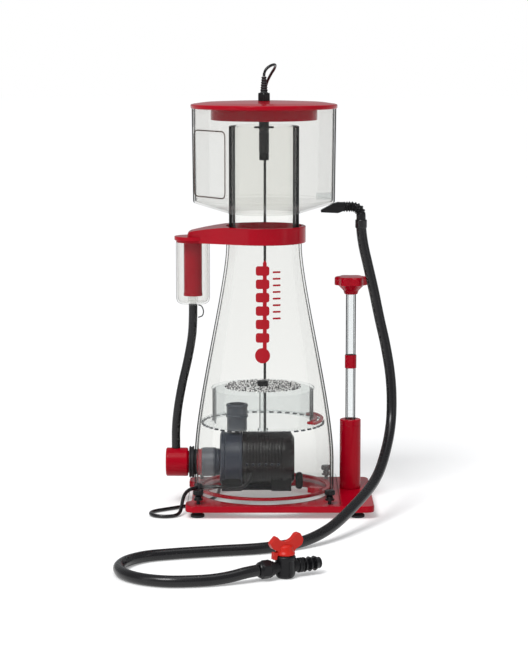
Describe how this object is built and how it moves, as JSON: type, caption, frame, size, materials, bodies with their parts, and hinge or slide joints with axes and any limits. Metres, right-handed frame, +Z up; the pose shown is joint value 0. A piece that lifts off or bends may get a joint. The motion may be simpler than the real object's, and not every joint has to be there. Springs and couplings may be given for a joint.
{
  "type": "protein skimmer",
  "caption": "In-sump aquarium protein skimmer: clear bottle-shaped body on a red base, foam cup with lid, pump inside, outlet riser, air silencer and drain hose with valve.",
  "frame": {"origin": "middle of the object's footprint, on the surface that the feet stand on; the body's axis is 6.5 mm to the left of it", "axes": "+Z up, +X towards the outlet riser, -Y towards the front where the drain hose lies"},
  "size_m": [0.3562, 0.6683, 0.5948],
  "materials": {
    "red_plastic": "gloss moulded red acrylic and PVC",
    "valve_red_plastic": "satin moulded orange-red nylon",
    "clear_acrylic": "clear polished acrylic",
    "smoked_plastic": "smoky translucent moulding",
    "black_plastic": "satin black moulding",
    "grey_plastic": "satin blue-grey moulding",
    "soft_rubber": "matt black rubber",
    "hose_rubber": "black flexible PVC",
    "shaft_steel": "polished shaft"
  },
  "bodies": {
    "frame": {"base_frame": "red_plastic", "body_ring": "red_plastic", "venturi_body": "red_plastic", "plate_clip": "red_plastic", "neck_collar": "red_plastic", "silencer_core": "red_plastic", "outlet_riser": "red_plastic", "base_plate": "clear_acrylic", "body_shell": "clear_acrylic", "bubble_chamber": "clear_acrylic", "bubble_disc": "clear_acrylic", "bubble_stem": "clear_acrylic", "silencer_body": "clear_acrylic", "pump_cradle": "smoked_plastic", "pump_bumper": "smoked_plastic", "pump_motor": "black_plastic", "pump_plug": "black_plastic", "sensor_connector": "black_plastic", "valve_body": "black_plastic", "valve_nut": "black_plastic", "valve_barb": "black_plastic", "pump_inlet": "grey_plastic", "pump_volute": "grey_plastic", "pump_riser": "grey_plastic", "riser_cap": "grey_plastic", "foot_front_left": "soft_rubber", "foot_rear_left": "soft_rubber", "foot_front_right": "soft_rubber", "foot_rear_right": "soft_rubber", "wall_gasket": "soft_rubber", "cable_grommet": "soft_rubber", "hose_tie": "hose_rubber", "air_hose": "hose_rubber", "drain_hose": "hose_rubber", "pump_cable": "hose_rubber", "pump_coil": "hose_rubber", "sensor_cable": "hose_rubber", "sensor_coil": "hose_rubber"},
    "cup": {"cup_shell": "clear_acrylic", "neck_tube": "clear_acrylic", "drain_nipple": "clear_acrylic", "drain_elbow": "black_plastic"},
    "lid": {"lid": "red_plastic", "sensor_nut": "black_plastic", "sensor_relief": "soft_rubber", "sensor_rod": "black_plastic", "sensor_tip": "smoked_plastic", "sensor_disc": "smoked_plastic"},
    "outlet_pipe": {"outlet_tube": "clear_acrylic", "outlet_band": "red_plastic"},
    "outlet_knob": {"outlet_knob": "red_plastic"},
    "valve_handle": {"valve_handle": "valve_red_plastic"},
    "rotor": {"rotor_shaft": "shaft_steel", "rotor_magnet": "grey_plastic", "impeller": "red_plastic"},
    "bubble_knob": {"bubble_knob": "black_plastic"},
    "thumbscrew_front_left": {"thumbscrew_front_left": "black_plastic"},
    "thumbscrew_front_right": {"thumbscrew_front_right": "black_plastic"},
    "thumbscrew_rear_left": {"thumbscrew_rear_left": "black_plastic"},
    "thumbscrew_rear_right": {"thumbscrew_rear_right": "black_plastic"}
  },
  "joints": [
    {"name": "cup_twist", "type": "hinge", "parent": "frame", "child": "cup", "pos_m": [-0.0065, 0, 0.38], "axis": [0, 0, 1], "range_deg": [-25, 0]},
    {"name": "lid_lift", "type": "slide", "parent": "frame", "child": "lid", "axis": [0, 0, 1], "range_m": [0, 0.08], "deforming": ["sensor_cable"]},
    {"name": "outlet_slide", "type": "slide", "parent": "frame", "child": "outlet_pipe", "axis": [0, 0, 1], "range_m": [-0.02, 0.04]},
    {"name": "outlet_knob_turn", "type": "hinge", "parent": "outlet_pipe", "child": "outlet_knob", "pos_m": [0.1115, 0.025, 0.29], "axis": [0, 0, 1], "range_deg": [-90, 90]},
    {"name": "valve_turn", "type": "hinge", "parent": "frame", "child": "valve_handle", "pos_m": [0.0185, -0.41, 0.03], "axis": [0, 0, 1], "range_deg": [0, 90]},
    {"name": "rotor_spin", "type": "hinge", "parent": "frame", "child": "rotor", "pos_m": [-0.0065, 0, 0.0625], "axis": [1, 0, 0], "continuous": true},
    {"name": "bubble_knob_turn", "type": "hinge", "parent": "frame", "child": "bubble_knob", "pos_m": [-0.008, 0, 0.165], "axis": [0, 0, 1], "continuous": true},
    {"name": "thumbscrew_front_left_turn", "type": "hinge", "parent": "frame", "child": "thumbscrew_front_left", "pos_m": [-0.0935, -0.084, 0.03], "axis": [0, 0, 1], "continuous": true},
    {"name": "thumbscrew_front_right_turn", "type": "hinge", "parent": "frame", "child": "thumbscrew_front_right", "pos_m": [0.0805, -0.084, 0.03], "axis": [0, 0, 1], "continuous": true},
    {"name": "thumbscrew_rear_left_turn", "type": "hinge", "parent": "frame", "child": "thumbscrew_rear_left", "pos_m": [-0.0935, 0.084, 0.03], "axis": [0, 0, 1], "continuous": true},
    {"name": "thumbscrew_rear_right_turn", "type": "hinge", "parent": "frame", "child": "thumbscrew_rear_right", "pos_m": [0.0805, 0.084, 0.03], "axis": [0, 0, 1], "continuous": true}
  ]
}
